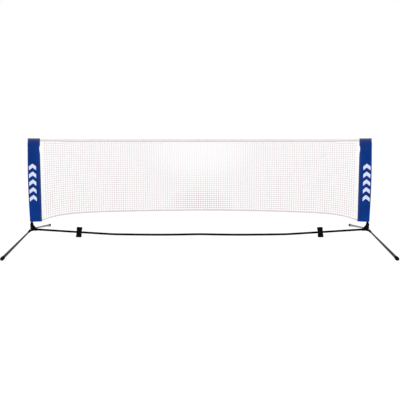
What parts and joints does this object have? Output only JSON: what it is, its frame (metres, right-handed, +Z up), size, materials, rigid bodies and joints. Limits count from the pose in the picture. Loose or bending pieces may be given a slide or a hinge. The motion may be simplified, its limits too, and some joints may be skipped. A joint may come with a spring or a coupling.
{
  "type": "portable badminton net",
  "caption": "Freestanding badminton net: folding tubular stand with a ground bar, height-adjustable posts in fabric sleeves, and a twine net with taped edges.",
  "frame": {"origin": "on the floor, under the middle of the net, at the centre of the four feet", "axes": "+X along the net to the right seen from the front, -Y towards the front, +Z up"},
  "size_m": [3.099, 1.029, 0.9235],
  "materials": {
    "black_plastic": "satin moulded plastic",
    "black_steel": "satin black powder coat",
    "grey_steel": "dark grey metallic coat",
    "zinc_steel": "bright zinc",
    "rubber": "matt",
    "blue_fabric": "woven polyester",
    "tape": "woven webbing",
    "net_twine": "knotted twine"
  },
  "bodies": {
    "base_frame": {"hub_left": "black_plastic", "lower_post_left": "black_steel", "post_screw_left": "zinc_steel", "bar_screw_left": "zinc_steel", "bar_outer_left": "black_steel", "bar_inner_left": "black_steel", "bar_spigot_left": "zinc_steel", "leg_rivet_front_left": "zinc_steel", "leg_rivet_rear_left": "zinc_steel", "hub_right": "black_plastic", "lower_post_right": "black_steel", "post_screw_right": "zinc_steel", "bar_screw_right": "zinc_steel", "bar_outer_right": "black_steel", "bar_inner_right": "black_steel", "bar_spigot_right": "zinc_steel", "leg_rivet_front_right": "zinc_steel", "leg_rivet_rear_right": "zinc_steel", "bar_spigot_middle": "zinc_steel"},
    "net_carriage": {"net_panel": "net_twine", "net_top_tape": "tape", "net_bottom_tape": "tape", "upper_post_left": "grey_steel", "post_glide_left": "black_plastic", "post_cap_left": "black_plastic", "sleeve_left": "blue_fabric", "sleeve_cuff_left": "blue_fabric", "net_side_tape_left": "tape", "upper_post_right": "grey_steel", "post_glide_right": "black_plastic", "post_cap_right": "black_plastic", "sleeve_right": "blue_fabric", "sleeve_cuff_right": "blue_fabric", "net_side_tape_right": "tape"},
    "leg_front_left_assembly": {"leg_front_left": "grey_steel", "leg_fork_front_left": "black_plastic", "foot_front_left": "rubber"},
    "leg_rear_left_assembly": {"leg_rear_left": "grey_steel", "leg_fork_rear_left": "black_plastic", "foot_rear_left": "rubber"},
    "leg_front_right_assembly": {"leg_front_right": "grey_steel", "leg_fork_front_right": "black_plastic", "foot_front_right": "rubber"},
    "leg_rear_right_assembly": {"leg_rear_right": "grey_steel", "leg_fork_rear_right": "black_plastic", "foot_rear_right": "rubber"},
    "clip_left": {"storage_clip_left": "black_plastic"},
    "lock_left": {"post_lock_left": "black_plastic"},
    "clip_right": {"storage_clip_right": "black_plastic"},
    "lock_right": {"post_lock_right": "black_plastic"}
  },
  "joints": [
    {"name": "net_height", "type": "slide", "parent": "base_frame", "child": "net_carriage", "axis": [0, 0, 1], "range_m": [0, 0.64]},
    {"name": "leg_fold_front_left", "type": "hinge", "parent": "base_frame", "child": "leg_front_left_assembly", "pos_m": [-1.504, -0.032, 0.1092], "axis": [0.0625, -0.2024, 0.9773], "range_deg": [0, 92.86]},
    {"name": "leg_fold_rear_left", "type": "hinge", "parent": "base_frame", "child": "leg_rear_left_assembly", "pos_m": [-1.504, 0.032, 0.1092], "axis": [-0.0625, -0.2024, -0.9773], "range_deg": [0, 92.86]},
    {"name": "leg_fold_front_right", "type": "hinge", "parent": "base_frame", "child": "leg_front_right_assembly", "pos_m": [1.504, -0.032, 0.1092], "axis": [0.0625, 0.2024, -0.9773], "range_deg": [0, 92.86]},
    {"name": "leg_fold_rear_right", "type": "hinge", "parent": "base_frame", "child": "leg_rear_right_assembly", "pos_m": [1.504, 0.032, 0.1092], "axis": [-0.0625, 0.2024, 0.9773], "range_deg": [0, 92.86]},
    {"name": "clip_swivel_left", "type": "hinge", "parent": "base_frame", "child": "clip_left", "pos_m": [-1.082, 0, 0.08219], "axis": [0.998, 0, -0.0639], "range_deg": [-80, 100]},
    {"name": "clip_swivel_right", "type": "hinge", "parent": "base_frame", "child": "clip_right", "pos_m": [1.082, 0, 0.08219], "axis": [0.998, 0, 0.0639], "range_deg": [-80, 100]},
    {"name": "lock_twist_left", "type": "hinge", "parent": "base_frame", "child": "lock_left", "pos_m": [-1.504, 0, 0.848], "axis": [0, 0, 1], "range_deg": [0, 90]},
    {"name": "lock_twist_right", "type": "hinge", "parent": "base_frame", "child": "lock_right", "pos_m": [1.504, 0, 0.848], "axis": [0, 0, 1], "range_deg": [0, 90]}
  ]
}
